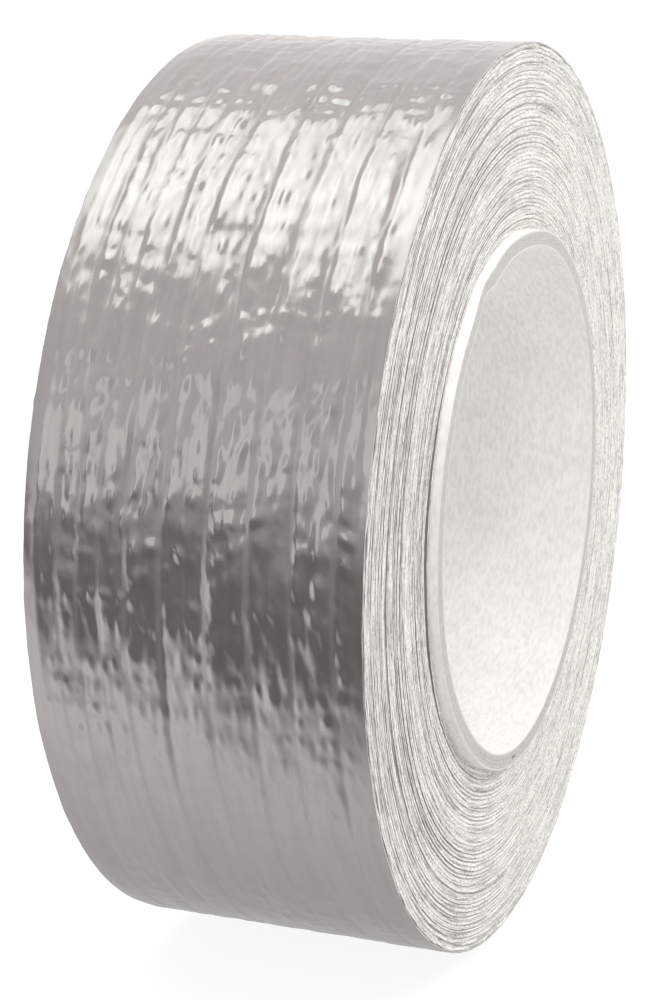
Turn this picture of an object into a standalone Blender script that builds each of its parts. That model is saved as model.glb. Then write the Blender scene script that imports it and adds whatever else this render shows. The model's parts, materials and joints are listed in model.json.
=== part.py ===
"""A roll of cloth-backed duct tape on a spiral-wound paper core.

The roll stands on its tread. Its axis is X, with the origin on the axis, halfway between the outermost side
faces, and +X is the side where the core stands proud. Angles go round the axis from +Y (the back) towards
+Z (the top). Metres throughout.

The strip spirals outwards: its cut end lies on the back of the roll, and every turn is one tape thickness
further in than the next. The last stretch of the strip is the free end, in four hinged pieces that peel
off the turn beneath it.
"""

from math import cos, pi, radians, sin

import bmesh
import bpy

MM = 0.001

# The strip of tape
ROLL_RADIUS = 68 * MM
TAPE_WIDTH = 48 * MM
TAPE_THICKNESS = 0.19 * MM
FILM_THICKNESS = 0.06 * MM
SCRIM_THICKNESS = 0.05 * MM
LAYER_GAP = 0.01 * MM

# The paper core, made as wide as the tape and pushed through to one side
BORE_RADIUS = 38.2 * MM
LINER_THICKNESS = 0.3 * MM
BOARD_THICKNESS = 0.6 * MM
BOARD_PLIES = 3
PLY_GAP = 0.02 * MM
CORE_STANDS_PROUD = 1.8 * MM

# The helical seam of each paper strip
SEAM_SWEEP = radians(126)
SEAM_GAP = 0.4 * MM
SEAM_TIP = 1.0 * MM
SEAM_STEP = radians(69)

# Facets round the roll. One of them is level underneath, so the roll stands on it.
FACET = radians(3)
FIRST_STATION = radians(1.5)

# The free end of the strip, on the back of the roll
TAPE_END = FIRST_STATION + 6 * FACET
PEEL_PIECES = 4
PEEL_PIECE_SWEEP = 3 * FACET
CUT_GAP = 0.3 * MM

TAPE_LOW = -(TAPE_WIDTH + CORE_STANDS_PROUD) / 2
TAPE_HIGH = TAPE_LOW + TAPE_WIDTH
CORE_LOW = -TAPE_HIGH
CORE_HIGH = -TAPE_LOW
ADHESIVE_THICKNESS = TAPE_THICKNESS - FILM_THICKNESS - SCRIM_THICKNESS - 3 * LAYER_GAP

SILVER_FILM = ((0.44, 0.43, 0.41, 1), 0.32, 0.35)
SCRIM_YARN = ((0.72, 0.71, 0.68, 1), 0.85, 0.0)
ADHESIVE = ((0.50, 0.48, 0.43, 1), 0.45, 0.0)
CUT_EDGES = ((0.55, 0.53, 0.49, 1), 0.60, 0.0)
WHITE_PAPER = ((0.83, 0.82, 0.79, 1), 0.75, 0.0)
GREY_BOARD = ((0.42, 0.40, 0.37, 1), 0.90, 0.0)


def clear_scene():
    for old in list(bpy.data.objects):
        bpy.data.objects.remove(old, do_unlink=True)


def add_material(obj, look):
    colour, roughness, metallic = look
    material = bpy.data.materials.new(obj.name)
    material.use_nodes = True
    shader = material.node_tree.nodes["Principled BSDF"]
    shader.inputs["Base Color"].default_value = colour
    shader.inputs["Roughness"].default_value = roughness
    shader.inputs["Metallic"].default_value = metallic
    obj.data.materials.append(material)


def stations(start, end):
    """The angles from start to end: both ends, and each facet's edge between them."""
    angles = [start]
    edge = FIRST_STATION + FACET * int((start - FIRST_STATION) // FACET)
    while edge < end - FACET / 20:
        if edge > start + FACET / 20:
            angles.append(edge)
        edge += FACET
    return angles + [end]


def add_object(name, look, shape):
    """Turns a finished bmesh into a named object with its own material."""
    bmesh.ops.recalc_face_normals(shape, faces=shape.faces)
    mesh = bpy.data.meshes.new(name)
    shape.to_mesh(mesh)
    shape.free()
    mesh.shade_smooth()
    mesh.set_sharp_from_angle(angle=radians(30))
    obj = bpy.data.objects.new(name, mesh)
    bpy.context.scene.collection.objects.link(obj)
    add_material(obj, look)
    return obj


def point(shape, x, radius, angle):
    return shape.verts.new((x, radius * cos(angle), radius * sin(angle)))


def sheet(name, look, angles, inner, outer, low, high):
    """A sheet bent round the axis, from the first angle to the last. inner, outer, low and high give its radii
    and its two edges' places along X at each angle."""
    shape = bmesh.new()
    rows = []
    for a in angles:
        corners = ((low(a), outer(a)), (high(a), outer(a)), (high(a), inner(a)), (low(a), inner(a)))
        rows.append([point(shape, x, radius, a) for x, radius in corners])
    for row, following in zip(rows, rows[1:]):
        for k in range(4):
            shape.faces.new((row[k], row[k - 1], following[k - 1], following[k]))
    shape.faces.new(rows[0])
    shape.faces.new(rows[-1])
    return add_object(name, look, shape)


def constant(value):
    return lambda angle: value


def paper_ply(name, look, inner, thickness, seam_start):
    """One strip of the core. Both its ends run to a slanted edge, and they meet along a helix from the core's
    low side to its high side."""
    climb = (CORE_HIGH - CORE_LOW) / SEAM_SWEEP

    def along_seam(angle):
        return CORE_LOW + climb * (angle - seam_start)

    def high_edge(angle):
        return min(CORE_HIGH, along_seam(angle) - SEAM_GAP / 2)

    def low_edge(angle):
        return max(CORE_LOW, along_seam(angle - 2 * pi) + SEAM_GAP / 2)

    tip = (SEAM_TIP + SEAM_GAP / 2) / climb
    angles = stations(seam_start + tip, seam_start + 2 * pi + SEAM_SWEEP - tip)
    sheet(name, look, angles, constant(inner), constant(inner + thickness), low_edge, high_edge)


def paper_core():
    """Liner, board plies and outer liner, from the bore outwards. It returns the core's outer radius."""
    plies = [("core_inner_liner", WHITE_PAPER, LINER_THICKNESS)]
    for number in range(1, BOARD_PLIES + 1):
        plies.append((f"core_board_ply_{number}", GREY_BOARD, BOARD_THICKNESS))
    plies.append(("core_outer_liner", WHITE_PAPER, LINER_THICKNESS))
    radius = BORE_RADIUS
    for number, (name, look, thickness) in enumerate(plies):
        paper_ply(name, look, radius, thickness, FIRST_STATION + number * SEAM_STEP)
        radius += thickness + PLY_GAP
    return radius - PLY_GAP


def strip_radius(angle):
    """The outer radius of the outermost turn, from the cut end of the strip at TAPE_END backwards round the
    roll, which is also one turn later the radius of the turn beneath."""
    return ROLL_RADIUS - TAPE_THICKNESS * (angle - TAPE_END) / (2 * pi)


def winding(core_radius):
    """Every turn but the outermost, as one solid ring. Its outside is a spiral, with a step as deep as the tape
    where the outermost turn starts."""
    angles = stations(TAPE_END, TAPE_END + 2 * pi)
    shape = bmesh.new()
    sides = []
    for x in (TAPE_LOW, TAPE_HIGH):
        inside = [point(shape, x, core_radius + PLY_GAP, a) for a in angles[:-1]]
        outside = [point(shape, x, strip_radius(a) - TAPE_THICKNESS, a) for a in angles]
        inside.append(inside[0])
        sides.append((inside, outside))
        shape.faces.new((inside[0], inside[1], outside[1], outside[0], outside[-1]))
        for k in range(1, len(angles) - 1):
            shape.faces.new((inside[k], inside[k + 1], outside[k + 1], outside[k]))
    for low, high in zip(*sides):
        for k in range(len(angles) - 1):
            shape.faces.new((low[k], low[k + 1], high[k + 1], high[k]))
    (_, low), (_, high) = sides
    shape.faces.new((low[0], low[-1], high[-1], high[0]))
    add_object("tape_winding", CUT_EDGES, shape)


def laminate(name, start, end, parent=None):
    """The three layers of the strip between two angles, from the inside out."""
    depth = TAPE_THICKNESS
    layers = (
        ("adhesive", ADHESIVE, ADHESIVE_THICKNESS),
        ("scrim", SCRIM_YARN, SCRIM_THICKNESS),
        ("film", SILVER_FILM, FILM_THICKNESS),
    )
    for layer, look, thickness in layers:
        depth -= LAYER_GAP
        obj = sheet(
            f"{name}_{layer}",
            look,
            stations(start, end),
            lambda angle, d=depth: strip_radius(angle) - d,
            lambda angle, d=depth - thickness: strip_radius(angle) - d,
            constant(TAPE_LOW),
            constant(TAPE_HIGH),
        )
        if parent:
            obj.parent = parent
            obj.matrix_parent_inverse = parent.matrix_world.inverted()
        depth -= thickness


def hinge(name, angle, parent):
    """An empty on the film's outer face, where the strip bends as it is peeled back."""
    empty = bpy.data.objects.new(name, None)
    radius = strip_radius(angle)
    place = (0, radius * cos(angle), radius * sin(angle))
    bpy.context.scene.collection.objects.link(empty)
    if parent:
        empty.parent = parent
        empty.matrix_parent_inverse = parent.matrix_world.inverted()
    empty.location = place
    bpy.context.view_layer.update()
    return empty


def tape_end():
    """The free end of the strip: a chain of short stretches, numbered from its root to the cut. It returns
    the angle of the root."""
    half_cut = CUT_GAP / 2 / ROLL_RADIUS
    root = TAPE_END + PEEL_PIECES * PEEL_PIECE_SWEEP
    parent = None
    for number in range(1, PEEL_PIECES + 1):
        top = root - (number - 1) * PEEL_PIECE_SWEEP
        bottom = top - PEEL_PIECE_SWEEP
        parent = hinge(f"peel_axis_{number}", top, parent)
        laminate(f"tape_end_{number}", bottom + half_cut, top - half_cut, parent)
    return root


def outer_turn(root):
    """The outermost turn, from just behind the free end's root to where it passes under the cut end."""
    half_cut = CUT_GAP / 2 / ROLL_RADIUS
    laminate("outer_turn", root + half_cut, TAPE_END + 2 * pi - half_cut)


clear_scene()
winding(paper_core())
outer_turn(tape_end())
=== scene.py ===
"""The looks of a roll of cloth-backed duct tape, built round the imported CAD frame. Metres throughout.

The roll's axis is X. Angles go round it from +Y (the back) towards +Z (the top), as in the CAD. A station is
a fixed step of angle, and the strip of tape is followed by its stations: from the root of its free end once
round the roll, and on beneath the free end. The film's relief is worked out once: the yarns that show
through it, the lengthwise grooves and the wrinkles. The free end's layers share it, and what lies hidden
beneath the outermost film follows a smooth bed under it.
"""

import json
from math import cos, pi, radians, sin, tan

import bpy
import numpy as np
from mathutils import Euler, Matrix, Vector


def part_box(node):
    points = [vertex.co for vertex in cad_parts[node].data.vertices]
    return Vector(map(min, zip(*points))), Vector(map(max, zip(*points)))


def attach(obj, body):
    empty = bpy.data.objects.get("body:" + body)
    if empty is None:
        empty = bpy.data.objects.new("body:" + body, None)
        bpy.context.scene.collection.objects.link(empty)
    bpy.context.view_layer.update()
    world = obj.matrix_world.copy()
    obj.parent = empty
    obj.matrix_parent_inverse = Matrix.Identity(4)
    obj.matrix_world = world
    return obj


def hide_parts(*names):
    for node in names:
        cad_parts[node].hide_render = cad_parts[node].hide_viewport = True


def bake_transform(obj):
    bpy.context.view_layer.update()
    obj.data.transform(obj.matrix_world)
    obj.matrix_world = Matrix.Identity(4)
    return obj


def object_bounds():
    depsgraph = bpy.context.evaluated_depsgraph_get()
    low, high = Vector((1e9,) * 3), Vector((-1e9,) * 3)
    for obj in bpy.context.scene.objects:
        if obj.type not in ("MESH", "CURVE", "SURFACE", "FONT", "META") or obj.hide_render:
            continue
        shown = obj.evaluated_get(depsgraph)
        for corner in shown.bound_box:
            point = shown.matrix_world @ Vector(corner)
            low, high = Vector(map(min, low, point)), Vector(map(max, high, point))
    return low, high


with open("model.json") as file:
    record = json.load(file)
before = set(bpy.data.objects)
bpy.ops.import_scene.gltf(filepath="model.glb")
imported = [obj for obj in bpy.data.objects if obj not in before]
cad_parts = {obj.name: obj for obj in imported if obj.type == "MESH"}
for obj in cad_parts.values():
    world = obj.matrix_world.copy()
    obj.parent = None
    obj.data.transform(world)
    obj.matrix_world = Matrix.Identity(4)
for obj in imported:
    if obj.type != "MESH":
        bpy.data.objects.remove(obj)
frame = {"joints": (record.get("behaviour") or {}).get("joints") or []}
cad_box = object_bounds()

MM = 0.001

# The strip and the core: their places come from the frame, and their layers are as thick as in the CAD
TAPE_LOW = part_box("tape_winding")[0].x
TAPE_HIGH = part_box("tape_winding")[1].x
TAPE_WIDTH = TAPE_HIGH - TAPE_LOW
CORE_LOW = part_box("core_inner_liner")[0].x
CORE_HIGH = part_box("core_inner_liner")[1].x
FLOOR = cad_box[0].z
HINGES = [Vector(joint["pos_m"]) for joint in frame["joints"]]
TAPE_THICKNESS = 0.19 * MM
FILM_THICKNESS = 0.06 * MM
SCRIM_THICKNESS = 0.05 * MM
ADHESIVE_THICKNESS = 0.05 * MM
LAYER_GAP = 0.01 * MM

# The cut edges of the turns show an arc about every third turn
ARC_PITCH = 0.62 * MM

# The paper core, from the bore outwards, and the slanted seam of each of its strips
BORE_RADIUS = 38.2 * MM
LINER_THICKNESS = 0.3 * MM
BOARD_THICKNESS = 0.6 * MM
BOARD_PLIES = 3
PLY_GAP = 0.02 * MM
SEAM_SWEEP = radians(126)
SEAM_GAP = 0.4 * MM
SEAM_TIP = 1.0 * MM
SEAM_STEP = radians(69)
FIRST_SEAM = radians(1.5)

# Stations round the roll, and columns across the strip. Hidden faces have only every third of both.
ROUND = 1200
STATION = 2 * pi / ROUND
COLUMNS = 192
HIDDEN_STEP = 3

# The free end of the strip, from its root to its cut end. The outermost turn runs a little way beneath it.
PEEL_PIECES = 4
PIECE_STATIONS = 30
END_STATION = 65
ROOT_STATION = END_STATION + PEEL_PIECES * PIECE_STATIONS
UNDERLAP = 3


def strip_radius(station):
    """The outer radius of the strip at a station. The strip goes inwards as the stations count up."""
    root_radius = HINGES[0].yz.length
    return root_radius - TAPE_THICKNESS * (station - ROOT_STATION) / ROUND


def by_angle(angle, *stops):
    """A value that changes evenly round the axis from one stop to the next. Each is (degrees, value)."""
    return np.interp(np.degrees(angle) % 360, *np.transpose(stops))


# Relief: small heights over the roll's outer surface


def spline_weights(places, cells, closed):
    """How much each place takes from each point of a lattice one cell apart, by cubic B-splines."""
    weights = np.zeros((len(places), cells if closed else cells + 4))
    base = np.floor(places).astype(int)
    f = places - base
    parts = ((1 - f) ** 3, 3 * f**3 - 6 * f**2 + 4, -3 * f**3 + 3 * f**2 + 3 * f + 1, f**3)
    for k, part in enumerate(parts):
        column = (base + k) % cells if closed else base + k
        weights[np.arange(len(places)), column] += part / 6
    return weights


def noise(seed, cell_round, cell_across, rows=ROUND, columns=COLUMNS + 1, radius=68 * MM, across=TAPE_WIDTH):
    """Smooth random heights of spread 1 over a face that closes round the roll. Features are about two cells
    across. Without the last four values that face is the tread."""
    random = np.random.default_rng(seed)
    round_cells = max(4, round(2 * pi * radius / cell_round))
    across_cells = max(1, round(across / cell_across))
    down = spline_weights(np.arange(rows) * round_cells / rows, round_cells, True)
    over = spline_weights(np.linspace(0, across_cells, columns), across_cells, False)
    heights = down @ random.standard_normal((round_cells, across_cells + 4)) @ over.T
    return heights / heights.std()


def ridges(phase, width):
    """A narrow ridge of height 1 at each whole number of phase."""
    off = phase - np.round(phase)
    return np.exp(-0.5 * (off / width) ** 2)


# The lengthwise grooves, in millimetres: distance from the low edge, depth, and width of the dusty line to
# either side. The flank towards the high edge is a little wider than that, and the other is a long ramp.
GROOVES = (
    (2.9, 0.060, 0.40),
    (5.0, 0.165, 0.62),
    (7.8, 0.155, 0.58),
    (10.9, 0.150, 0.56),
    (14.6, 0.180, 0.66),
    (17.1, 0.060, 0.36),
    (19.6, 0.190, 0.70),
    (23.1, 0.065, 0.40),
    (26.0, 0.200, 0.72),
    (32.1, 0.215, 0.78),
    (35.2, 0.070, 0.42),
    (37.9, 0.155, 0.58),
    (40.6, 0.060, 0.36),
    (43.8, 0.175, 0.66),
)
HIGH_FLANK = 1.35
LOW_RAMP = 3.4
DEEP_GROOVE = 0.15

# The cloth's yarns under the film, and the strip between two grooves
WARP_PITCH = 1.6 * MM
WEFT_ROWS = 112
PILLOW_CELL = 0.7 * MM
PILLOW_HEIGHT = 0.100 * MM
STRIPE_EDGE = 0.16

# The strip's low edge rolls inwards, and both edges wander a little
EDGE_ROLL = 1.9 * MM
EDGE_ROLL_DEPTH = 0.30 * MM
EDGE_WAVE = 0.03 * MM


def line_noise(seed, cell):
    """Smooth random heights along the strip, one for each station."""
    return noise(seed, cell, TAPE_WIDTH, columns=1)


def grooves(across):
    """How deep the lengthwise grooves are at every point, and how dusty they are."""
    depth = np.zeros((ROUND, COLUMNS + 1))
    dust = np.zeros((ROUND, COLUMNS + 1))
    for number, (place, deep, wide) in enumerate(GROOVES):
        wander = line_noise(100 + number, 14 * MM) * 0.10 * MM
        swell = 1 + 0.12 * line_noise(140 + number, 6 * MM) + 0.12 * line_noise(180 + number, 1.2 * MM)
        off = (across - place * MM - wander) / MM
        share = np.where(off < 0, -off / LOW_RAMP, off / (wide * HIGH_FLANK))
        depth += deep * MM * np.clip(swell, 0.6, 1.4) * np.clip(1 - share, 0, 1)
        dust += deep / DEEP_GROOVE * np.clip(1 - np.abs(off) / wide, 0, 1)
    return depth, dust


def stripes(across):
    """The strip between two grooves heaves and tilts on its own, so each stripe catches the light alone."""
    starts = [0] + [place for place, deep, _ in GROOVES if deep > 0.1]
    ends = starts[1:] + [TAPE_WIDTH / MM]
    heights = np.zeros((ROUND, COLUMNS + 1))
    for number, (start, end) in enumerate(zip(starts, ends)):
        heave = 0.090 * line_noise(220 + number, 5.0 * MM) + 0.040 * line_noise(240 + number, 2.8 * MM)
        tilt = 0.040 * line_noise(260 + number, 7 * MM)
        off = across / MM - (start + end) / 2
        crown = -0.016 * off**2 / ((end - start) / 2)
        after = 1 / (1 + np.exp(-(across / MM - start) / STRIPE_EDGE)) if number else 1
        before = 1 / (1 + np.exp((across / MM - end) / STRIPE_EDGE))
        heights += (heave + tilt * off + crown) * after * before
    return heights * MM


def lower_envelope(heights, reach):
    """A smooth field that lies under every height within reach of each point."""
    low = heights
    for axis in (0, 1):
        shifted = [shifted_by(low, k, axis) for k in range(-reach, reach + 1)]
        low = np.min(shifted, 0)
    for axis in (0, 1):
        low = np.mean([shifted_by(low, k, axis) for k in range(-reach, reach + 1)], 0)
    return low


def shifted_by(heights, steps, axis):
    """The heights moved along an axis: round the roll they come round again, and at the edges they stay."""
    places = np.arange(heights.shape[axis]) + steps
    places = places % ROUND if axis == 0 else np.clip(places, 0, COLUMNS)
    return np.take(heights, places, axis)


def pillows(across):
    """The film bulges between one weft yarn and the next, by a different amount in each cell."""
    stations = np.arange(ROUND)[:, None]
    row = stations * WEFT_ROWS / ROUND + 0.22 * noise(4, 5 * MM, 4 * MM) + 0.5 * across / TAPE_WIDTH
    random = np.random.default_rng(30)
    cells = round(TAPE_WIDTH / PILLOW_CELL)
    over = spline_weights(np.linspace(0, cells, COLUMNS + 1), cells, False)
    amounts = random.standard_normal((WEFT_ROWS, cells + 4)) @ over.T
    amounts = amounts / amounts.std()
    whole = np.floor(row).astype(int)
    amount = amounts[whole % WEFT_ROWS, np.arange(COLUMNS + 1)]
    warp_phase = across / WARP_PITCH + 0.15 * noise(3, 6 * MM, 3 * MM)
    amount = 0.38 + 0.28 * np.cos(2 * pi * warp_phase) + 0.62 * amount
    bulge = np.sin(pi * (row - whole)) ** 2
    return PILLOW_HEIGHT * np.clip(amount, 0.0, 2.2) * bulge


def slackness():
    """How freely the film puckers at each station: it is taut over the top and underneath."""
    angle = np.arange(ROUND)[:, None] * STATION
    return by_angle(
        angle, (0, 0.8), (60, 0.6), (100, 0.55), (112, 1), (198, 1), (212, 0.6), (230, 0.35), (265, 0.35),
        (300, 0.8),
    )


def groove_share():
    """The share of their stated depth that the grooves have at each station."""
    angle = np.arange(ROUND)[:, None] * STATION
    return by_angle(
        angle, (0, 0.8), (100, 0.7), (114, 1.2), (148, 1.2), (162, 0.4), (195, 0.3), (265, 0.3), (300, 0.8)
    )


def make_relief():
    """Returns the height of the film over the stations and columns, and how dusty it is there."""
    across = np.linspace(0, TAPE_WIDTH, COLUMNS + 1)
    roll = np.clip(1 - across / EDGE_ROLL, 0, 1) * EDGE_ROLL_DEPTH
    slow = 0.055 * MM * noise(1, 30 * MM, 14 * MM) + 0.020 * MM * noise(2, 14 * MM, 6 * MM) - roll
    patchy = np.clip(0.8 + 0.6 * noise(9, 3 * MM, 2 * MM), 0.1, 2.0)
    crumple = 0.010 * noise(6, 0.9 * MM, 0.6 * MM) + 0.006 * noise(7, 0.5 * MM, 0.45 * MM)
    lanes = 0.042 * MM * noise(8, 2.2 * MM, 0.9 * MM)
    depth, dust = grooves(across)
    puckers = pillows(across) + crumple * patchy * MM + stripes(across) + lanes
    near_edges = np.clip(np.minimum(across / (5 * MM), (TAPE_WIDTH - across) / (2.5 * MM)), 0.18, 1)
    relief = slow + puckers * slackness() * near_edges - depth * groove_share()
    return relief - relief.mean(), dust * slackness()


def make_weave():
    """Where yarns lie under the adhesive: 1 on a yarn, 0 between."""
    across = np.linspace(0, TAPE_WIDTH, COLUMNS + 1)
    stations = np.arange(ROUND)[:, None]
    warp = ridges(across / WARP_PITCH + 0.05 * noise(3, 25 * MM, 3 * MM), 0.17)
    weft = ridges(stations * WEFT_ROWS / ROUND * 2 + 0.08 * noise(4, 16 * MM, 9 * MM), 0.17)
    return np.maximum(warp, weft)


RELIEF, DUST = make_relief()
BED = lower_envelope(RELIEF, HIDDEN_STEP)
WEAVE = make_weave()
WEAVE_DEPTH = 0.012 * MM


# Meshes


def add_piece(name, points, faces, smooth_below=40):
    """A mesh piece from its points and its faces, which are arrays of corner numbers, one array for each
    number of corners. Edges sharper than the angle, in degrees, stay sharp."""
    mesh = bpy.data.meshes.new(name)
    corners = np.concatenate([np.asarray(group, np.int32).ravel() for group in faces])
    sizes = np.concatenate([np.full(len(group), np.shape(group)[1], np.int32) for group in faces])
    mesh.vertices.add(len(points))
    mesh.vertices.foreach_set("co", np.asarray(points, np.float32).ravel())
    mesh.loops.add(len(corners))
    mesh.loops.foreach_set("vertex_index", corners)
    mesh.polygons.add(len(sizes))
    mesh.polygons.foreach_set("loop_start", (np.cumsum(sizes) - sizes).astype(np.int32))
    mesh.update(calc_edges=True)
    mesh.shade_smooth()
    mesh.set_sharp_from_angle(angle=radians(smooth_below))
    piece = bpy.data.objects.new(name, mesh)
    bpy.context.scene.collection.objects.link(piece)
    return piece


def set_field(piece, name, values):
    """Gives each point of the piece a number that its material reads."""
    field = piece.data.attributes.new(name, "FLOAT", "POINT")
    field.data.foreach_set("value", np.asarray(values, np.float32).ravel())


def bent(x, radius, angle):
    """Grids of distance along the axis, radius and angle, as points."""
    x, radius, angle = np.broadcast_arrays(x, radius, angle)
    return np.stack([x, radius * np.cos(angle), radius * np.sin(angle)], -1)


def rested(points, depth):
    """Flattens the strip where the roll stands. depth is how far the points lie under the film's face."""
    points[..., 2] = np.maximum(points[..., 2], FLOOR + depth)
    return points


def borders(rows, columns, row_step, column_step, first_inner):
    """The faces that join an outer grid to the inner one behind it, which has one point for each step."""
    outer = np.arange(rows * columns).reshape(rows, columns)
    inner_rows = (rows - 1) // row_step + 1
    inner_columns = (columns - 1) // column_step + 1
    inner = first_inner + np.arange(inner_rows * inner_columns).reshape(inner_rows, inner_columns)
    sides = (
        (outer[::-1, 0], inner[::-1, 0], row_step),
        (outer[:, -1], inner[:, -1], row_step),
        (outer[0], inner[0], column_step),
        (outer[-1, ::-1], inner[-1, ::-1], column_step),
    )
    faces = []
    for near, far, step in sides:
        starts = np.arange(len(far) - 1)
        strip = [near[starts * step + k] for k in range(step + 1)]
        faces.append(np.stack(strip + [far[starts + 1], far[starts]], 1))
    return faces


def quads(rows, columns, first=0, facing=1):
    """The faces of a grid of points whose first point has the given number."""
    grid = first + np.arange(rows * columns).reshape(rows, columns)
    corners = [grid[:-1, :-1], grid[1:, :-1], grid[1:, 1:], grid[:-1, 1:]][::facing]
    return np.stack([corner.ravel() for corner in corners], 1)


def shell(name, outer, inner):
    """A closed thin sheet between two grids of points. The inner grid may be coarser by a whole number."""
    rows, columns = outer.shape[:2]
    inner_rows, inner_columns = inner.shape[:2]
    row_step = (rows - 1) // (inner_rows - 1)
    column_step = (columns - 1) // (inner_columns - 1)
    first_inner = rows * columns
    faces = [quads(rows, columns), quads(inner_rows, inner_columns, first_inner, -1)]
    faces += borders(rows, columns, row_step, column_step, first_inner)
    points = np.concatenate([outer.reshape(-1, 3), inner.reshape(-1, 3)])
    return add_piece(name, points, faces)


# Materials


def add_node(tree, kind, inputs=(), **settings):
    """A shader node. Each input is a number, or another node's output to link."""
    node = tree.nodes.new("ShaderNode" + kind)
    for setting, value in settings.items():
        setattr(node, setting, value)
    for socket, value in dict(inputs).items():
        if isinstance(value, bpy.types.NodeSocket):
            tree.links.new(value, node.inputs[socket])
        else:
            node.inputs[socket].default_value = value
    return node


def new_material(name, **values):
    """Returns the material, its node tree and its shader, with constants for the sockets that are named."""
    material = bpy.data.materials.new(name)
    material.use_nodes = True
    shader = material.node_tree.nodes["Principled BSDF"]
    for socket, value in values.items():
        shader.inputs[socket.replace("_", " ")].default_value = value
    return material, material.node_tree, shader


def place(tree, scale):
    """The point being shaded, in the roll's own frame, scaled."""
    coordinates = add_node(tree, "TexCoord").outputs["Object"]
    return add_node(tree, "Mapping", {"Vector": coordinates, "Scale": scale}).outputs["Vector"]


def maths(tree, operation, *values):
    return add_node(tree, "Math", dict(enumerate(values)), operation=operation).outputs["Value"]


def speckle(tree, scale, detail=2.0, vector=None):
    """Noise from 0 to 1, at the point being shaded unless a vector is given."""
    vector = vector or place(tree, (1, 1, 1))
    node = add_node(tree, "TexNoise", {"Vector": vector, "Scale": scale, "Detail": detail})
    return node.outputs["Fac"]


def shades(tree, factor, *stops):
    """A colour ramp with a stop for each (place, colour)."""
    ramp = add_node(tree, "ValToRGB", {"Fac": factor})
    elements = ramp.color_ramp.elements
    for k, (stop, colour) in enumerate(stops):
        element = elements[k] if k < 2 else elements.new(stop)
        element.position = stop
        element.color = (*colour, 1)
    return ramp.outputs["Color"]


def mixed(tree, kind, factor, a, b):
    """Colour b laid over colour a, as far as the factor says."""
    node = add_node(tree, "Mix", data_type="RGBA", blend_type=kind)
    for socket, value in ((0, factor), (6, a), (7, b)):
        if isinstance(value, bpy.types.NodeSocket):
            tree.links.new(value, node.inputs[socket])
        else:
            node.inputs[socket].default_value = value
    return node.outputs[2]


def ranged(tree, value, low, high, to_low, to_high):
    """The value moved from one range to another, and kept inside it."""
    node = add_node(tree, "MapRange", {"Value": value})
    for socket, number in zip(("From Min", "From Max", "To Min", "To Max"), (low, high, to_low, to_high)):
        node.inputs[socket].default_value = number
    return node.outputs["Result"]


def bump(tree, shader, height, distance):
    node = add_node(tree, "Bump", {"Height": height, "Distance": distance})
    tree.links.new(node.outputs["Normal"], shader.inputs["Normal"])


def field(tree, name):
    """The number that set_field gave the piece's points."""
    return add_node(tree, "Attribute", attribute_name=name).outputs["Fac"]


def grey(value, warmth=0.03):
    """A warm grey: warmth is how far red stands above blue, as a share."""
    return (value * (1 + warmth / 2), value, value * (1 - warmth / 2))


def cotton(value):
    """The cut cloth's grey, a little cooler than the film's."""
    return (value * 0.98, value, value * 0.99)


def silver(value):
    """The film's own grey, a little towards red."""
    return (value * 1.085, value, value * 0.985)


def film_material():
    """Silver-grey polyethylene film: glossy, a little streaky lengthwise, and dull in its dusty grooves."""
    material, tree, shader = new_material("silver_film", Metallic=0.78)
    streaks = speckle(tree, 1.0, 3.0, place(tree, (900, 60, 60)))
    base = shades(tree, streaks, (0.3, silver(0.35)), (0.7, silver(0.38)))
    dust = field(tree, "dust")
    dusty = ranged(tree, dust, 0.2, 1.2, 0.0, 0.35)
    tree.links.new(mixed(tree, "MIX", dusty, base, (*silver(0.30), 1)), shader.inputs["Base Color"])
    clean = ranged(tree, speckle(tree, 260, 3.0), 0.3, 0.7, 0.12, 0.18)
    dull = ranged(tree, dust, 0.1, 1.1, 0.0, 0.26)
    tree.links.new(maths(tree, "ADD", clean, dull), shader.inputs["Roughness"])
    grain = speckle(tree, 1.0, 3.0, place(tree, (1500, 1100, 1100)))
    bump(tree, shader, grain, 0.006 * MM)
    return material


def cloth_material():
    """Pale cotton yarn."""
    material, tree, shader = new_material("scrim_cloth")
    tufts = speckle(tree, 3000, 3.0)
    tree.links.new(shades(tree, tufts, (0.3, grey(0.6)), (0.7, grey(0.8))), shader.inputs["Base Color"])
    tree.links.new(ranged(tree, tufts, 0.3, 0.7, 0.75, 0.95), shader.inputs["Roughness"])
    bump(tree, shader, tufts, 0.02 * MM)
    return material


def adhesive_material():
    """Cream-grey rubber adhesive, with the cloth showing through it."""
    material, tree, shader = new_material("adhesive", Specular_IOR_Level=0.45)
    weave = field(tree, "weave")
    clouds = speckle(tree, 500, 3.0)
    rubber = shades(tree, clouds, (0.3, grey(0.50, 0.09)), (0.7, grey(0.60, 0.09)))
    seen = ranged(tree, weave, 0.0, 1.0, 0.0, 0.6)
    tree.links.new(mixed(tree, "MIX", seen, rubber, (*grey(0.74, 0.05), 1)), shader.inputs["Base Color"])
    tree.links.new(ranged(tree, clouds, 0.3, 0.7, 0.35, 0.55), shader.inputs["Roughness"])
    bump(tree, shader, speckle(tree, 2500, 3.0), 0.01 * MM)
    return material


def from_axis(tree):
    """The line from the roll's axis to the point being shaded: its length, and its direction."""
    axes = add_node(tree, "SeparateXYZ", {"Vector": add_node(tree, "TexCoord").outputs["Object"]}).outputs
    flat = add_node(tree, "CombineXYZ", {"Y": axes["Y"], "Z": axes["Z"]}).outputs["Vector"]
    radius = add_node(tree, "VectorMath", {0: flat}, operation="LENGTH").outputs["Value"]
    direction = add_node(tree, "VectorMath", {0: flat}, operation="NORMALIZE").outputs["Vector"]
    return radius, direction


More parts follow.
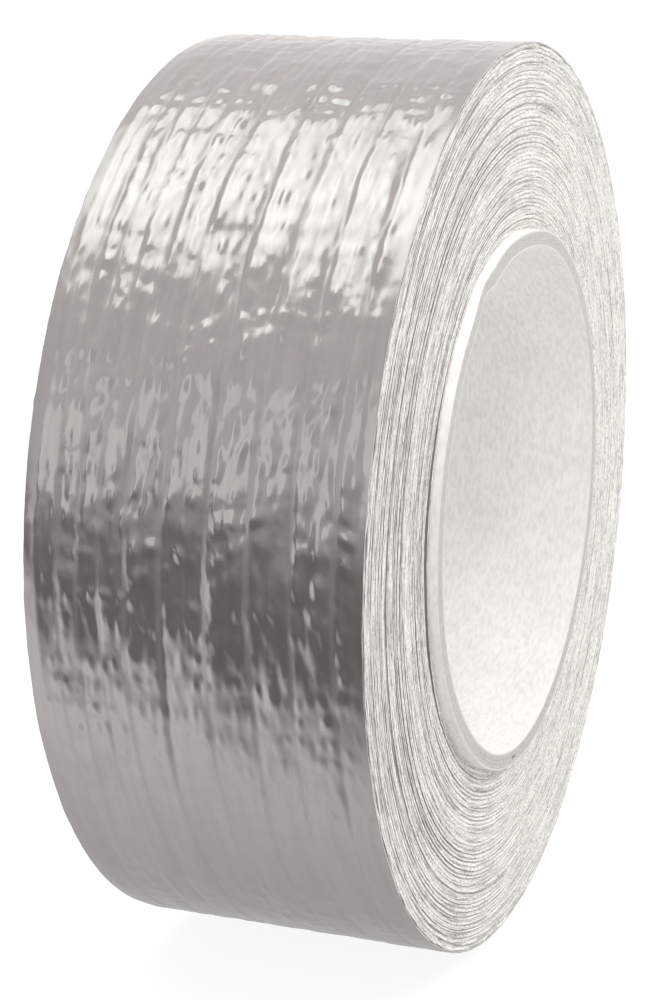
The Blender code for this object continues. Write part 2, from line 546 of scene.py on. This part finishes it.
def polar_place(tree, along_radius, round_axis):
    """Coordinates that change fast with the radius and slowly round the axis, for concentric marks."""
    radius, direction = from_axis(tree)
    across = add_node(tree, "CombineXYZ", {"X": maths(tree, "MULTIPLY", radius, along_radius)})
    turned = add_node(tree, "VectorMath", {0: direction, "Scale": round_axis}, operation="SCALE")
    both = {0: turned.outputs["Vector"], 1: across.outputs["Vector"]}
    return add_node(tree, "VectorMath", both, operation="ADD").outputs["Vector"]


def facing_out(tree):
    """How far the surface faces away from the roll's axis: 1 outwards, -1 inwards, 0 sideways."""
    _, outwards = from_axis(tree)
    normal = add_node(tree, "NewGeometry").outputs["Normal"]
    return add_node(tree, "VectorMath", {0: normal, 1: outwards}, operation="DOT_PRODUCT").outputs["Value"]


def arcs(tree):
    """Fine arcs round the axis, ARC_PITCH apart but drifting: 0 in each arc, 1 between two."""
    radius, _ = from_axis(tree)
    phase = maths(tree, "MULTIPLY", radius, 2 * pi / ARC_PITCH)
    wave = maths(tree, "SINE", maths(tree, "MULTIPLY_ADD", speckle(tree, 160), 7.0, phase))
    return ranged(tree, wave, -1.0, 1.0, 0.0, 1.0)


def wound_material():
    """The edges of the turns: pale cut cloth and adhesive, and grey film where a turn's outside shows."""
    material, tree, shader = new_material("wound_edges", Specular_IOR_Level=0.4)
    turns = speckle(tree, 1.0, 1.0, polar_place(tree, 3600, 7))
    dashes = speckle(tree, 1.0, 1.0, polar_place(tree, 5600, 60))
    stitches = speckle(tree, 1.0, 2.0, polar_place(tree, 5200, 110))
    bands = speckle(tree, 1.0, 2.0, polar_place(tree, 700, 2))
    base = shades(tree, turns, (0.36, cotton(0.54)), (0.45, cotton(0.73)), (0.62, cotton(0.82)))
    for shade in (
        shades(tree, dashes, (0.34, grey(0.62)), (0.45, grey(1.0))),
        shades(tree, stitches, (0.36, grey(0.74)), (0.52, grey(1.0))),
        shades(tree, arcs(tree), (0.10, grey(0.76, 0)), (0.45, grey(1.0, 0))),
        shades(tree, bands, (0.3, grey(0.93)), (0.6, grey(1.0))),
    ):
        base = mixed(tree, "MULTIPLY", 1.0, base, shade)
    flecks = ranged(tree, speckle(tree, 1800, 2.0), 0.67, 0.74, 0.0, 0.6)
    base = mixed(tree, "MIX", flecks, base, (*grey(0.88, 0.01), 1))
    film = ranged(tree, facing_out(tree), 0.15, 0.55, 0.0, 1.0)
    base = mixed(tree, "MIX", film, base, (*grey(0.15, 0.08), 1))
    tree.links.new(base, shader.inputs["Base Color"])
    tree.links.new(ranged(tree, film, 0.0, 1.0, 0.7, 0.35), shader.inputs["Roughness"])
    bump(tree, shader, speckle(tree, 1.0, 3.0, polar_place(tree, 9000, 160)), 0.03 * MM)
    return material


def paper_material():
    """White liner paper: matt, faintly mottled, with a fine fibre grain and greyer cut edges. Over the top
    and upper front of the outer liner it is painted lighter, as painted light.
    """
    material, tree, shader = new_material("white_paper", Specular_IOR_Level=0.3)
    mottle = speckle(tree, 90, 4.0)
    fibres = speckle(tree, 1.0, 4.0, place(tree, (1800, 700, 700)))
    base = shades(tree, mottle, (0.3, grey(0.73, 0.015)), (0.7, grey(0.79, 0.015)))
    # Painted light: the outer liner is painted whiter over its top and upper front, where the lamps fall on
    # it
    base = mixed(tree, "MIX", field(tree, "painted_light"), base, (*grey(0.93, 0), 1))
    base = mixed(tree, "MULTIPLY", 1.0, base, shades(tree, fibres, (0.28, grey(0.86)), (0.6, grey(1.0))))
    normal = add_node(tree, "NewGeometry").outputs["True Normal"]
    sideways = add_node(tree, "SeparateXYZ", {"Vector": normal}).outputs["X"]
    cut = ranged(tree, maths(tree, "ABSOLUTE", sideways), 0.5, 0.8, 0, 0.7)
    base = mixed(tree, "MIX", cut, base, (*grey(0.46, 0.05), 1))
    tree.links.new(base, shader.inputs["Base Color"])
    tree.links.new(ranged(tree, fibres, 0.3, 0.7, 0.65, 0.8), shader.inputs["Roughness"])
    bump(tree, shader, fibres, 0.012 * MM)
    return material


def board_material():
    """Grey chipboard, cut across its plies."""
    material, tree, shader = new_material("grey_board", Specular_IOR_Level=0.25)
    chips = speckle(tree, 1.0, 4.0, polar_place(tree, 4200, 40))
    base = shades(tree, chips, (0.3, grey(0.36, 0.10)), (0.7, grey(0.49, 0.09)))
    tree.links.new(base, shader.inputs["Base Color"])
    tree.links.new(ranged(tree, chips, 0.3, 0.7, 0.95, 0.8), shader.inputs["Roughness"])
    bump(tree, shader, speckle(tree, 3500, 3.0), 0.05 * MM)
    return material


MATERIALS = {
    "silver_film": film_material(),
    "scrim_cloth": cloth_material(),
    "adhesive": adhesive_material(),
    "wound_edges": wound_material(),
    "white_paper": paper_material(),
    "grey_board": board_material(),
}


def finished(piece, slot, *nodes):
    """Gives the piece its material slot, and hides the CAD nodes it stands for."""
    piece.data.materials.append(MATERIALS[slot])
    if nodes:
        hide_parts(*nodes)
    return piece


# The strip of tape


def edge_wave(rows):
    """How far the strip's low and high edges wander at each station."""
    waves = noise(20, 2.2 * MM, TAPE_WIDTH, columns=2) + 0.6 * noise(21, 0.9 * MM, TAPE_WIDTH, columns=2)
    return waves[rows % ROUND] * EDGE_WAVE


def strip_grid(rows, depth, height, column_step=1):
    """The strip's face at the given stations: so far beneath its outer radius, and raised by the height."""
    columns = np.arange(0, COLUMNS + 1, column_step)
    share = columns / COLUMNS
    wave = edge_wave(rows)
    x = TAPE_LOW + TAPE_WIDTH * share + wave[:, :1] * (1 - share) ** 8 + wave[:, 1:] * share**8
    radius = strip_radius(rows)[:, None] - depth + height[rows % ROUND][:, columns]
    return rested(bent(x, radius, rows[:, None] * STATION), depth)


def set_dust(piece, rows, inner):
    """Dust lies on the film's face, and none on the inner grid behind it."""
    inner_points = inner.shape[0] * inner.shape[1]
    set_field(piece, "dust", np.concatenate([DUST[rows % ROUND].ravel(), np.zeros(inner_points)]))


def outer_turn():
    """The outermost turn, which runs on beneath the free end. Its hidden cloth and adhesive are coarser."""
    rows = np.arange(ROOT_STATION, ROOT_STATION + ROUND + UNDERLAP + 1)
    coarse = rows[::HIDDEN_STEP]
    outer = strip_grid(rows, 0, RELIEF)
    inner = strip_grid(coarse, FILM_THICKNESS, BED, HIDDEN_STEP)
    film = shell("outer_turn_silver_film", outer, inner)
    set_dust(film, rows, inner)
    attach(finished(film, "silver_film", "outer_turn_film"), "roll")
    depth = FILM_THICKNESS + LAYER_GAP
    for layer, slot, thickness in (
        ("scrim", "scrim_cloth", SCRIM_THICKNESS),
        ("adhesive", "adhesive", ADHESIVE_THICKNESS),
    ):
        outer = strip_grid(coarse, depth, BED, HIDDEN_STEP)
        inner = strip_grid(coarse, depth + thickness, BED, HIDDEN_STEP)
        piece = shell(f"outer_turn_{layer}_layer", outer, inner)
        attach(finished(piece, slot, f"outer_turn_{layer}"), "roll")
        depth += thickness + LAYER_GAP


def free_end():
    """The last stretch of the strip, which peels off, in pieces that each run from one hinge to the next. The
    yarns press through the adhesive beneath."""
    layers = (
        ("film", "silver_film", 0, FILM_THICKNESS),
        ("scrim", "scrim_cloth", FILM_THICKNESS + LAYER_GAP, SCRIM_THICKNESS),
        ("adhesive", "adhesive", TAPE_THICKNESS - LAYER_GAP - ADHESIVE_THICKNESS, ADHESIVE_THICKNESS),
    )
    for number in range(1, PEEL_PIECES + 1):
        last = ROOT_STATION - (number - 1) * PIECE_STATIONS
        rows = np.arange(last - PIECE_STATIONS, last + 1)
        for layer, slot, depth, thickness in layers:
            outer = strip_grid(rows, depth, RELIEF)
            under = RELIEF - WEAVE * WEAVE_DEPTH if layer == "adhesive" else RELIEF
            inner = strip_grid(rows, depth + thickness, under)
            piece = shell(f"free_end_{number}_{layer}_layer", outer, inner)
            if layer == "film":
                set_dust(piece, rows, inner)
            if layer == "adhesive":
                shown = WEAVE[rows % ROUND].ravel()
                set_field(piece, "weave", np.concatenate([shown, shown]))
            finished(piece, slot, f"tape_end_{number}_{layer}")
            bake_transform(piece)


# The wound turns beneath. The ring has every third station. Each turn's edge is two rings of points.

WOUND_STEP = 3
TURN_RINGS = 2
STEP_SHARE = 0.14
SLIPPED_TURNS = 1.5 * MM
SLIP = 0.26 * MM
WALL_STEP = 12
SIDE_RADIUS = 55 * MM
INNER_WOUND = BORE_RADIUS + 2 * LINER_THICKNESS + BOARD_PLIES * BOARD_THICKNESS + 5 * PLY_GAP


def turn_heights(seed, rings, rows):
    """How far each ring of a side face stands out. Both rings of one turn stand out alike, so that the face
    steps from turn to turn: outwards it shows a turn's film, and inwards its adhesive."""
    random = np.random.default_rng(seed)
    turns = rings // TURN_RINGS + 1
    span = turns * TAPE_THICKNESS
    each = random.standard_normal(turns) * 0.022
    arc = 0.020 * np.cos(2 * pi * np.arange(turns) * TAPE_THICKNESS / ARC_PITCH)
    bands = noise(seed + 1, 7 * MM, 0.25 * MM, rows, turns, SIDE_RADIUS, span) * 0.022
    threads = random.standard_normal((rows, turns)) * 0.018
    loose = (random.random(turns) < 0.05) * random.uniform(0.04, 0.08, turns)
    outermost = np.exp(-np.arange(turns)[::-1] / 5.0)
    ragged = 0.10 * outermost * noise(seed + 3, 1.3 * MM, 0.3 * MM, rows, turns, SIDE_RADIUS, span)
    heights = each + arc + bands + threads + loose + ragged
    return np.repeat(heights, TURN_RINGS, 1)[:, :rings] * MM


def high_side_dish(angle, inwards):
    """How far the high side face stands out as a whole. It lies back with the core's mouth, except that the
    innermost turns have slipped outwards low on the front."""
    slipped = np.exp(-(((angle % (2 * pi)) - radians(178)) / radians(32)) ** 4)
    inner_turns = np.exp(-(SLIPPED_TURNS - inwards) / (2 * MM)) * (inwards < SLIPPED_TURNS)
    return SLIP * slipped * inner_turns - 0.6 * mouth_recess(angle) * np.exp(-inwards / (3.5 * MM))


def wound_turns():
    """Every turn but the outermost, as one closed ring whose side faces show each turn's edge."""
    rows = np.arange(ROOT_STATION, ROOT_STATION + ROUND, WOUND_STEP)
    angle = rows * STATION
    outside = strip_radius(rows) - TAPE_THICKNESS - LAYER_GAP
    mean = outside.mean()
    turns = int((mean - INNER_WOUND) / TAPE_THICKNESS)
    rings = turns * TURN_RINGS
    turn = np.arange(rings) // TURN_RINGS
    share = (turn + np.where(np.arange(rings) % TURN_RINGS, 1 - STEP_SHARE, STEP_SHARE)) / turns
    circle = INNER_WOUND + (mean - INNER_WOUND) * share
    inwards = circle - INNER_WOUND
    near_outside = np.exp(-(mean - circle) / (2.2 * MM))
    outermost = outside[:, None] + BED[rows % ROUND][:, [0, -1]]
    yarns = noise(500, 1.9 * MM, 0.4 * MM, len(rows), rings, SIDE_RADIUS, mean - INNER_WOUND) * 0.022 * MM
    sides = []
    for side, (edge, facing, seed) in enumerate(((TAPE_LOW, -1, 300), (TAPE_HIGH, 1, 400))):
        radius = circle + yarns * (1 - near_outside) + (outermost[:, side : side + 1] - mean) * near_outside
        dish = -0.05 * MM * np.exp(-inwards / (0.4 * MM))
        if facing > 0:
            dish = dish + high_side_dish(angle[:, None], inwards)
        x = edge + facing * (turn_heights(seed, rings, len(rows)) + dish)
        sides.append(bent(x, radius, angle[:, None]))
    wall_columns = np.arange(WALL_STEP, COLUMNS, WALL_STEP)
    wall_x = TAPE_LOW + TAPE_WIDTH * wall_columns / COLUMNS
    wall = bent(wall_x, outside[:, None] + BED[rows % ROUND][:, wall_columns], angle[:, None])
    low, high = sides
    points = np.concatenate([low, wall, high[:, ::-1]], 1)
    grid = np.arange(points.shape[0] * points.shape[1]).reshape(points.shape[:2])
    following = np.roll(grid, -1, 0)
    corners = (grid, following, np.roll(following, -1, 1), np.roll(grid, -1, 1))
    faces = np.stack([corner.ravel() for corner in corners], 1)
    piece = add_piece("wound_turns", points.reshape(-1, 3), [faces], 75)
    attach(finished(piece, "wound_edges", "tape_winding"), "roll")


# The paper core

CORE_STATIONS = 480
CORE_COLUMNS = 32


def mouth_recess(angle):
    """How far the core's high mouth, and the turns beside it, lie back from square on the front side."""
    return MM * by_angle(
        angle, (84, 0), (100, 0.9), (112, 1.0), (118, 1.3), (128, 0.8), (140, 0.8), (200, 0.7), (240, 0)
    )


def rim_dent(angle, x):
    """How far a knock has pushed the bore's edge inwards near the top of the front. Beside it the edge gives
    way outwards."""
    knock = MM * by_angle(angle, (97, 0), (107, 0.5), (113.5, 0.6), (117, -0.6), (122, -0.3), (129, 0))
    return knock * np.exp(-(CORE_HIGH - x) / (3 * MM))


def yielding(radius):
    """The share of the dent that a layer at this radius takes: all at the bore, nothing at the outside."""
    return (INNER_WOUND - radius) / (INNER_WOUND - BORE_RADIUS)


def core_ply(name, slot, node, inner_radius, thickness, seam_start):
    """One strip of the core, wound as a helix. Its ends meet along a slanted seam."""
    climb = (CORE_HIGH - CORE_LOW) / SEAM_SWEEP
    tip = (SEAM_TIP + SEAM_GAP / 2) / climb
    start, end = seam_start + tip, seam_start + 2 * pi + SEAM_SWEEP - tip
    angle = np.linspace(start, end, CORE_STATIONS + 1)[:, None]
    along_seam = CORE_LOW + climb * (angle - seam_start)
    high = np.minimum(CORE_HIGH - mouth_recess(angle), along_seam - SEAM_GAP / 2)
    low = np.maximum(CORE_LOW, along_seam - climb * 2 * pi + SEAM_GAP / 2)
    share = 0.5 - 0.5 * np.cos(pi * np.linspace(0, 1, CORE_COLUMNS + 1))
    x = low + (high - low) * share
    dent = rim_dent(angle, x)
    outer = bent(x, inner_radius + thickness - dent * yielding(inner_radius + thickness), angle)
    inner = bent(x, inner_radius - dent * yielding(inner_radius), angle)
    piece = shell(name, outer, inner)
    if node == "core_outer_liner":
        # Painted light: the outer liner is painted whiter over its top and upper front, where the lamps fall
        # on it
        painted_light = by_angle(angle, (60, 0), (85, 0.8), (135, 0.8), (165, 0))
        painted_light = np.broadcast_to(painted_light, x.shape).ravel()
        set_field(piece, "painted_light", np.concatenate([painted_light, painted_light]))
    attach(finished(piece, slot, node), "roll")


def paper_core():
    """Inner liner, board plies and outer liner, from the bore outwards."""
    plies = [("core_inner_liner", "white_paper", LINER_THICKNESS)]
    for number in range(1, BOARD_PLIES + 1):
        plies.append((f"core_board_ply_{number}", "grey_board", BOARD_THICKNESS))
    plies.append(("core_outer_liner", "white_paper", LINER_THICKNESS))
    radius = BORE_RADIUS
    for number, (node, slot, thickness) in enumerate(plies):
        core_ply(node + "_paper", slot, node, radius, thickness, FIRST_SEAM + number * SEAM_STEP)
        radius += thickness + PLY_GAP


# The studio

# Where the camera stands, seen from the middle of the tape, and how far off that middle it aims
CAMERA_AZIMUTH = radians(19.68)
CAMERA_HEIGHT = radians(13.99)
CAMERA_DISTANCE = 395.5 * MM
CAMERA_LENS = 92.48
AIM_RIGHT = radians(-0.880)
AIM_UP = radians(-0.305)

# The cards before the roll are turned by this much from the roll's axis, so as to lie across its reflections
FRONT_TURN = radians(37)

OVERHEAD_SIZE = (1.6, 2.0)
OVERHEAD_PLACE = (-0.86, -0.04)
OVERHEAD_HEIGHT = 2.01


def camera():
    """The camera at the photograph's angle."""
    middle = Vector(((TAPE_LOW + TAPE_HIGH) / 2, 0, 0))
    away = Vector((
        sin(CAMERA_AZIMUTH) * cos(CAMERA_HEIGHT),
        -cos(CAMERA_AZIMUTH) * cos(CAMERA_HEIGHT),
        sin(CAMERA_HEIGHT),
    ))
    right = Vector((cos(CAMERA_AZIMUTH), sin(CAMERA_AZIMUTH), 0))
    up = away.cross(right)
    data = bpy.data.cameras.new("camera")
    data.lens = CAMERA_LENS
    data.clip_start = 0.01
    data.clip_end = 50
    camera_object = bpy.data.objects.new("camera", data)
    bpy.context.scene.collection.objects.link(camera_object)
    camera_object.location = middle + away * CAMERA_DISTANCE
    aim = -away + right * tan(AIM_RIGHT) + up * tan(AIM_UP)
    camera_object.rotation_mode = "QUATERNION"
    camera_object.rotation_quaternion = aim.to_track_quat("-Z", "Y")
    bpy.context.scene.camera = camera_object


def plane(name, size_x, size_y, middle):
    """A level sheet that isn't part of the roll."""
    half_x, half_y = size_x / 2, size_y / 2
    mesh = bpy.data.meshes.new(name)
    corners = [(-half_x, -half_y, 0), (half_x, -half_y, 0), (half_x, half_y, 0), (-half_x, half_y, 0)]
    mesh.from_pydata(corners, [], [(0, 1, 2, 3)])
    sheet = bpy.data.objects.new(name, mesh)
    bpy.context.scene.collection.objects.link(sheet)
    sheet.location = middle
    return sheet


def lamp(name, radiance, size, place_at, aim_at):
    """A rectangular soft light that reflections don't see. Its power follows from how bright its face is."""
    data = bpy.data.lights.new(name, "AREA")
    data.shape = "RECTANGLE"
    data.size, data.size_y = size
    data.energy = radiance * pi * size[0] * size[1]
    light = bpy.data.objects.new(name, data)
    bpy.context.scene.collection.objects.link(light)
    light.location = place_at
    light.rotation_mode = "QUATERNION"
    light.rotation_quaternion = (Vector(aim_at) - Vector(place_at)).to_track_quat("-Z", "Y")
    light.visible_glossy = False


def glossy_card(name, size_x, size_y, *stops, tint=(1, 1, 1), hollow=0.0, cut_at=None, dim_before=None):
    """A sheet that only reflections see. Each stop gives a place from its near edge, as a share of its depth,
    with how bright and how solid the sheet is there. hollow is how much dimmer its sides are than its middle.
    Along its own X it ends softly at cut_at, or fades to 0.3 of its brightness before dim_before."""
    card = plane(name, size_x, size_y, (0, 0, 0))
    material, tree, shader = new_material(name, Roughness=1, Specular_IOR_Level=0, Emission_Strength=1)
    shader.inputs["Base Color"].default_value = (0, 0, 0, 1)
    axes = add_node(tree, "SeparateXYZ", {"Vector": add_node(tree, "TexCoord").outputs["Object"]}).outputs
    share = ranged(tree, axes["Y"], -size_y / 2, size_y / 2, 0.0, 1.0)
    bright = shades(tree, share, *((stop, [light * part for part in tint]) for stop, light, _ in stops))
    solid = shades(tree, share, *((stop, grey(whole, 0)) for stop, _, whole in stops))
    if cut_at is not None:
        ending = ranged(tree, axes["X"], cut_at - 0.06, cut_at, 0.0, 1.0)
        solid = mixed(tree, "MULTIPLY", 1.0, solid, ending)
    if hollow:
        dimmer = ranged(tree, maths(tree, "ABSOLUTE", axes["X"]), 0.0, size_x / 2, 1.0, 1 - hollow)
        bright = mixed(tree, "MULTIPLY", 1.0, bright, dimmer)
    if dim_before is not None:
        dimmer = ranged(tree, axes["X"], dim_before - 0.3, dim_before, 0.3, 1.0)
        bright = mixed(tree, "MULTIPLY", 1.0, bright, dimmer)
    tree.links.new(bright, shader.inputs["Emission Color"])
    tree.links.new(solid, shader.inputs["Alpha"])
    card.data.materials.append(material)
    card.visible_camera = False
    card.visible_diffuse = False
    card.visible_shadow = False
    return card


def dark_card():
    """Lies almost flat on the floor before the roll, and makes the dark band of its reflections."""
    depth = 1.2
    card = glossy_card(
        "dark_card", 2.4, depth, (0, 0.9, 0.6), (0.02, 0.5, 1), (0.045, 0.02, 1), (0.12, 0.09, 1),
        (0.25, 0.14, 1), (0.5, 0.19, 1), (1, 0.24, 1), cut_at=-0.10,
    )
    near_edge = Vector((-0.04, -0.108, FLOOR + 1 * MM))
    slope = Euler((radians(1), 0, radians(180) + FRONT_TURN), "XYZ")
    card.rotation_euler = slope
    card.location = near_edge + slope.to_matrix() @ Vector((0, depth / 2, 0))


def contact_shade():
    """The floor's own shade beside the roll, as the film mirrors it."""
    card = glossy_card(
        "contact_shade", 0.24, 0.10, (0, 0.4, 0), (0.36, 0.4, 0.3), (0.64, 0.4, 0.63), (0.9, 0.4, 0.83)
    )
    card.location = (-0.02, -0.05, FLOOR + 0.5 * MM)


def front_card():
    """Stands on the floor before the roll, and fades upwards into the light around."""
    height = 0.5
    card = glossy_card(
        "front_card", 3.0, height, (0, 0.24, 1), (0.4, 0.55, 1), (0.65, 0.72, 1), (1, 0.72, 0), dim_before=0.0
    )
    card.rotation_euler = Euler((radians(90), 0, FRONT_TURN), "XYZ")
    card.location = Vector((-0.62, -1.05, FLOOR + height / 2))


def front_glow():
    """The front softbox as the film mirrors it, just before the front card."""
    card = glossy_card("front_glow", 0.60, 0.43, (0, 1.2, 1), (1, 1.2, 1), tint=(0.96, 1.0, 0.97))
    card.rotation_euler = Euler((radians(90), 0, FRONT_TURN), "XYZ")
    card.location = (-0.416, -0.872, 0.335)


def overhead_glow():
    """The overhead softbox as the film mirrors it: brightest in its middle, and just below it."""
    card = glossy_card(
        "overhead_glow", *OVERHEAD_SIZE, (0, 2.3, 1), (0.5, 3.1, 1), (1, 2.3, 1), hollow=0.35,
        tint=(0.93, 1.0, 0.955),
    )
    card.location = (*OVERHEAD_PLACE, OVERHEAD_HEIGHT - 0.01)


def studio():
    """A pale floor in even light from all round, brighter from the back, with four soft lamps."""
    floor = plane("floor", 12, 12, (0, 0, FLOOR - 0.02 * MM))
    material, _, shader = new_material("floor", Roughness=0.9, Specular_IOR_Level=0.0, Emission_Strength=0.90)
    shader.inputs["Base Color"].default_value = (0.12, 0.12, 0.12, 1)
    shader.inputs["Emission Color"].default_value = (1, 1, 1, 1)
    floor.data.materials.append(material)
    for card in (dark_card, contact_shade, front_card, front_glow, overhead_glow):
        card()
    lamp("overhead_softbox", 1.0, OVERHEAD_SIZE, (*OVERHEAD_PLACE, OVERHEAD_HEIGHT), (*OVERHEAD_PLACE, 0))
    lamp("front_softbox", 0.66, (0.56, 0.42), (-0.36, -1.0, 0.36), (0, 0, 0))
    lamp("side_softbox", 12.0, (0.15, 0.15), (0.35, 0.10, 0.28), (0.0, 0.0, -0.03))
    lamp("top_fill", 5.5, (0.2, 0.3), (0.14, -0.33, 0.42), (0.02, 0, 0.03))

    world = bpy.data.worlds.new("studio")
    world.use_nodes = True
    tree = world.node_tree
    direction = add_node(tree, "SeparateXYZ", {"Vector": add_node(tree, "TexCoord").outputs["Generated"]})
    backwards = ranged(tree, direction.outputs["Y"], -1.0, 1.0, 0.0, 1.0)
    light = shades(tree, backwards, (0.0, grey(0.70)), (0.65, grey(1.0)), (1.0, grey(1.05)))
    tree.links.new(light, tree.nodes["Background"].inputs["Color"])
    bpy.context.scene.world = world
    bpy.context.scene.view_settings.view_transform = "Standard"


camera()
studio()
outer_turn()
free_end()
wound_turns()
paper_core()
